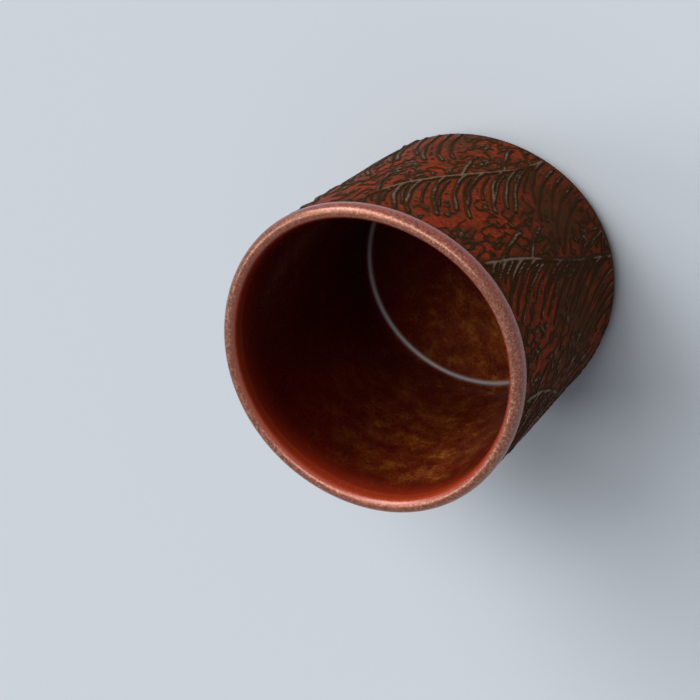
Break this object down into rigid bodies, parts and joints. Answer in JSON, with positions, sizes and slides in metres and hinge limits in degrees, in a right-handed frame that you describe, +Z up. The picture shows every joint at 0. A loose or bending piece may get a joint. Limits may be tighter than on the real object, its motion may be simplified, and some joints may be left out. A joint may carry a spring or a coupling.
{
  "type": "cup",
  "caption": "Handmade stoneware cup without a handle: a thick rounded lip, a wall with raised fern fronds all round, a glazed inside and a low foot ring.",
  "frame": {"origin": "on the cup's axis at the bottom of the foot ring", "axes": "+Z up along the cup's axis, out of the mouth; -Y is the side that the picture shows"},
  "size_m": [0.079, 0.079, 0.0712],
  "materials": {
    "foot_ring": "bare fired stoneware, matt",
    "floor_disc": "satin iron glaze, worn dark at the rounded edge",
    "wall": "fired stoneware under the outer coat and the liner glaze",
    "corner_coil": "fired stoneware under the liner glaze",
    "lip_coil": "satin copper-pink glaze with fine pits",
    "liner_glaze": "glossy dark iron-red glaze, mottled brown and ochre",
    "fern_coat": "satin iron-red glaze over fern fronds trailed in slip, grey-brown where it breaks on the ridges"
  },
  "bodies": {
    "root": {"foot_ring": "foot_ring", "floor_disc": "floor_disc", "wall": "wall", "corner_coil": "corner_coil", "lip_coil": "lip_coil", "liner_glaze": "liner_glaze", "fern_coat": "fern_coat"}
  },
  "joints": []
}
